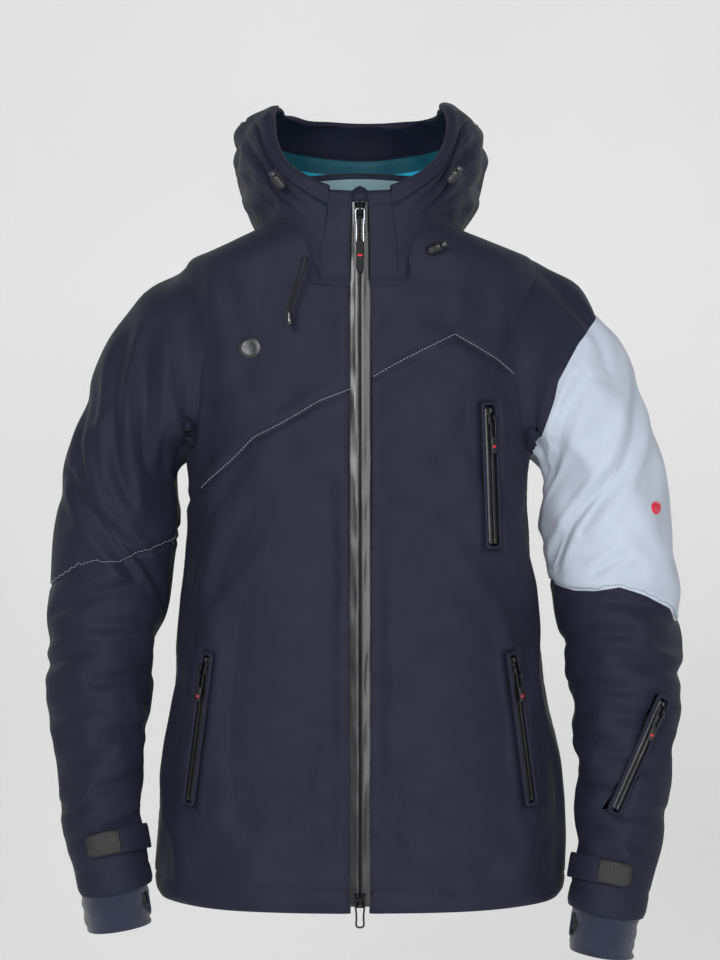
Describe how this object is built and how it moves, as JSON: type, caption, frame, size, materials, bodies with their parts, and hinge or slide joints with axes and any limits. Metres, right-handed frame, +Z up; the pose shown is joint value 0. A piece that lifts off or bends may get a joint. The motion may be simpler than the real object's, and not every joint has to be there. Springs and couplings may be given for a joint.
{
  "type": "ski jacket",
  "caption": "Insulated zip-front ski jacket with a hood worn down, a contrast sleeve panel, zipped pockets, cuff tabs and knitted wrist gaiters.",
  "frame": {"origin": "middle of the hanger loop's front face, at its top edge, inside the back of the neck", "axes": "+Z up, +X to the wearer's left, the front faces -Y"},
  "size_m": [0.672, 0.3459, 0.8629],
  "materials": {
    "shell_fabric": "fine plain weave, soft sheen",
    "panel_fabric": "fine plain weave, soft sheen",
    "lining_fabric": "smooth taffeta",
    "inner_fabric": "taffeta",
    "knit": "stretch knit",
    "coated_tape": "laminated, glossy",
    "zip_metal": "black lacquer",
    "bright_metal": "polished",
    "trim_plastic": "moulded, matt",
    "webbing": "woven tape",
    "cord": "braided elastic",
    "badge": "moulded",
    "badge_red": "moulded"
  },
  "bodies": {
    "torso": {"back_panel": "shell_fabric", "back_yoke": "shell_fabric", "chest_badge": "badge", "chest_pocket_bag": "inner_fabric", "chest_pocket_zip": "coated_tape", "collar_band": "shell_fabric", "collar_drawcord_front": "cord", "collar_drawcord_rear": "cord", "collar_front_left": "shell_fabric", "collar_front_right": "shell_fabric", "collar_lining": "lining_fabric", "cord_lock_barrels": "trim_plastic", "drawcord_end": "trim_plastic", "front_panel_left": "shell_fabric", "front_panel_right": "shell_fabric", "front_yoke_left": "shell_fabric", "front_yoke_right": "shell_fabric", "hand_pocket_bags": "inner_fabric", "hand_pocket_zips": "coated_tape", "hanger_loop": "webbing", "hem_facing": "inner_fabric", "hood_brim": "shell_fabric", "hood_centre": "shell_fabric", "hood_lining": "lining_fabric", "hood_side_left": "shell_fabric", "hood_side_right": "shell_fabric", "main_zip_chain": "coated_tape", "shoulder_gusset_left": "shell_fabric", "shoulder_gusset_right": "shell_fabric", "storm_flap": "inner_fabric", "torso_lining": "inner_fabric", "zip_garage": "shell_fabric"},
    "upper_arm_left": {"upper_sleeve_left": "panel_fabric", "elbow_gusset_left": "shell_fabric", "sleeve_badge": "badge_red"},
    "upper_arm_right": {"upper_sleeve_right": "shell_fabric", "elbow_gusset_right": "shell_fabric"},
    "forearm_left": {"lower_sleeve_left": "shell_fabric", "wrist_gaiter_left": "knit", "sleeve_pocket_zip": "coated_tape", "sleeve_pocket_bag": "inner_fabric"},
    "forearm_right": {"lower_sleeve_right": "shell_fabric", "wrist_gaiter_right": "knit"},
    "main_upper_slider": {"main_upper_slider": "zip_metal"},
    "main_upper_puller": {"main_upper_puller": "bright_metal"},
    "main_lower_slider": {"main_lower_slider": "zip_metal"},
    "main_lower_puller": {"main_lower_puller": "bright_metal"},
    "chest_slider": {"chest_slider": "zip_metal"},
    "chest_puller": {"chest_puller": "trim_plastic"},
    "hand_left_slider": {"hand_left_slider": "zip_metal"},
    "hand_left_puller": {"hand_left_puller": "trim_plastic"},
    "hand_right_slider": {"hand_right_slider": "zip_metal"},
    "hand_right_puller": {"hand_right_puller": "trim_plastic"},
    "cuff_tab_left": {"cuff_tab_left": "shell_fabric"},
    "sleeve_slider": {"sleeve_slider": "zip_metal"},
    "sleeve_puller": {"sleeve_puller": "trim_plastic"},
    "cuff_tab_right": {"cuff_tab_right": "shell_fabric"},
    "plunger_hood_right": {"plunger_hood_right": "trim_plastic"},
    "plunger_hood_left": {"plunger_hood_left": "trim_plastic"},
    "plunger_collar_left": {"plunger_collar_left": "trim_plastic"}
  },
  "joints": [
    {"name": "main_upper_slide", "type": "slide", "parent": "torso", "child": "main_upper_slider", "axis": [0, -0.0579, -0.9983], "range_m": [0, 0.4]},
    {"name": "main_upper_pull", "type": "hinge", "parent": "main_upper_slider", "child": "main_upper_puller", "pos_m": [0, -0.17506, -0.01589], "axis": [-1, 0, 0], "range_deg": [0, 150]},
    {"name": "main_lower_slide", "type": "slide", "parent": "torso", "child": "main_lower_slider", "axis": [0, 0.0579, 0.9983], "range_m": [0, 0.15]},
    {"name": "main_lower_pull", "type": "hinge", "parent": "main_lower_slider", "child": "main_lower_puller", "pos_m": [0, -0.21426, -0.69202], "axis": [-1, 0, 0], "range_deg": [0, 150]},
    {"name": "chest_slide", "type": "slide", "parent": "torso", "child": "chest_slider", "axis": [0.031, -0.028, -0.9991], "range_m": [0, 0.111]},
    {"name": "chest_pull", "type": "hinge", "parent": "chest_slider", "child": "chest_puller", "pos_m": [0.13192, -0.16169, -0.22185], "axis": [-0.8411, -0.5408, -0.0109], "range_deg": [0, 150]},
    {"name": "hand_left_slide", "type": "slide", "parent": "torso", "child": "hand_left_slider", "axis": [0.1258, -0.0192, -0.9919], "range_m": [0, 0.118]},
    {"name": "hand_left_pull", "type": "hinge", "parent": "hand_left_slider", "child": "hand_left_puller", "pos_m": [0.157, -0.16277, -0.47052], "axis": [-0.7514, -0.6547, -0.0826], "range_deg": [0, 150]},
    {"name": "hand_right_slide", "type": "slide", "parent": "torso", "child": "hand_right_slider", "axis": [-0.1258, -0.0192, -0.9919], "range_m": [0, 0.118]},
    {"name": "hand_right_pull", "type": "hinge", "parent": "hand_right_slider", "child": "hand_right_puller", "pos_m": [-0.157, -0.16277, -0.47052], "axis": [-0.7514, 0.6547, 0.0826], "range_deg": [0, 150]},
    {"name": "shoulder_left", "type": "hinge", "parent": "torso", "child": "upper_arm_left", "pos_m": [0.228, -0.055, -0.145], "axis": [0, -1, 0], "range_deg": [0, 50], "deforming": ["shoulder_gusset_left"]},
    {"name": "elbow_left", "type": "hinge", "parent": "upper_arm_left", "child": "forearm_left", "pos_m": [0.268, -0.069, -0.425], "axis": [-1, 0, 0], "range_deg": [0, 60], "deforming": ["elbow_gusset_left"]},
    {"name": "cuff_tab_left", "type": "hinge", "parent": "forearm_left", "child": "cuff_tab_left", "pos_m": [0.21229, -0.1309, -0.67121], "axis": [-0.2027, -0.1559, -0.9667], "range_deg": [0, 65]},
    {"name": "sleeve_slide", "type": "slide", "parent": "forearm_left", "child": "sleeve_slider", "axis": [-0.4215, -0.1345, -0.8968], "range_m": [0, 0.09351]},
    {"name": "sleeve_pull", "type": "hinge", "parent": "sleeve_slider", "child": "sleeve_puller", "pos_m": [0.30221, -0.14847, -0.51506], "axis": [-0.8188, -0.3685, 0.4401], "range_deg": [0, 150]},
    {"name": "shoulder_right", "type": "hinge", "parent": "torso", "child": "upper_arm_right", "pos_m": [-0.228, -0.055, -0.145], "axis": [0, 1, 0], "range_deg": [0, 50], "deforming": ["shoulder_gusset_right"]},
    {"name": "elbow_right", "type": "hinge", "parent": "upper_arm_right", "child": "forearm_right", "pos_m": [-0.268, -0.069, -0.425], "axis": [-1, 0, 0], "range_deg": [0, 60], "deforming": ["elbow_gusset_right"]},
    {"name": "cuff_tab_right", "type": "hinge", "parent": "forearm_right", "child": "cuff_tab_right", "pos_m": [-0.21426, -0.12925, -0.64234], "axis": [-0.2187, 0.1682, 0.9612], "range_deg": [0, 65]},
    {"name": "plunger_hood_right", "type": "slide", "parent": "torso", "child": "plunger_hood_right", "axis": [0.6241, 0.2013, -0.755], "range_m": [0, 0.003], "stiffness_N_per_m": 250, "springref_m": -0.002},
    {"name": "plunger_hood_left", "type": "slide", "parent": "torso", "child": "plunger_hood_left", "axis": [-0.6241, 0.2013, -0.755], "range_m": [0, 0.003], "stiffness_N_per_m": 250, "springref_m": -0.002},
    {"name": "plunger_collar_left", "type": "slide", "parent": "torso", "child": "plunger_collar_left", "axis": [-0.8642, 0.3558, -0.3558], "range_m": [0, 0.003], "stiffness_N_per_m": 250, "springref_m": -0.002}
  ]
}
